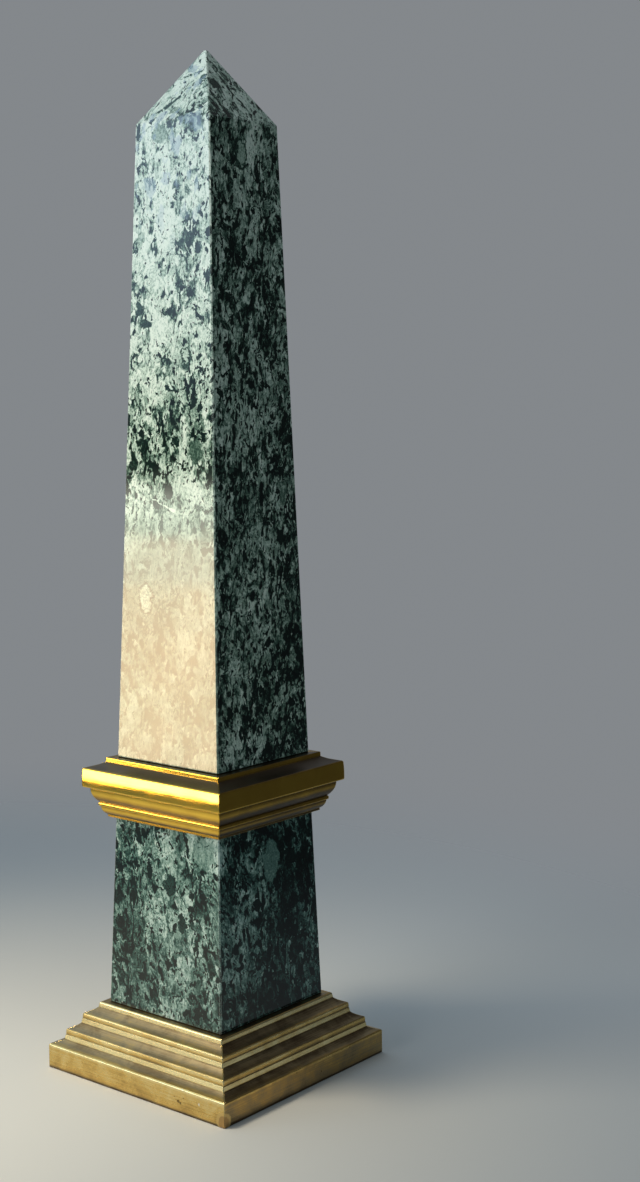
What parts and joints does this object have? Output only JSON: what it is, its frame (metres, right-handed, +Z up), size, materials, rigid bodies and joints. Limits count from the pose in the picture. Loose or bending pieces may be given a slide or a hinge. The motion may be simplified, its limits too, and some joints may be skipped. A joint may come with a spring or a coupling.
{
  "type": "desk obelisk",
  "caption": "Desk ornament: a tapered green marble shaft with a pyramid top, on a marble block, with stepped square brass mouldings round its foot and waist.",
  "frame": {"origin": "on the upright axis, in the plane of the underside of the brass base", "axes": "+Z up the axis to the tip; the front side faces -Y and the right side faces +X"},
  "size_m": [0.088, 0.088, 0.3705],
  "materials": {
    "green_marble": "polished, mottled dark and pale green",
    "polished_brass": "polished",
    "aged_brass": "satin, lightly tarnished",
    "core_wood": "bare, planed",
    "rod_steel": "zinc plated, dulled"
  },
  "bodies": {
    "root": {"base_moulding_front": "aged_brass", "base_moulding_right": "aged_brass", "base_moulding_back": "aged_brass", "base_moulding_left": "aged_brass", "base_core": "core_wood", "pedestal_block": "green_marble", "collar_moulding_front": "polished_brass", "collar_moulding_right": "polished_brass", "collar_moulding_back": "polished_brass", "collar_moulding_left": "polished_brass", "shaft": "green_marble", "tie_rod": "rod_steel", "washer": "rod_steel", "nut": "rod_steel"}
  },
  "joints": []
}
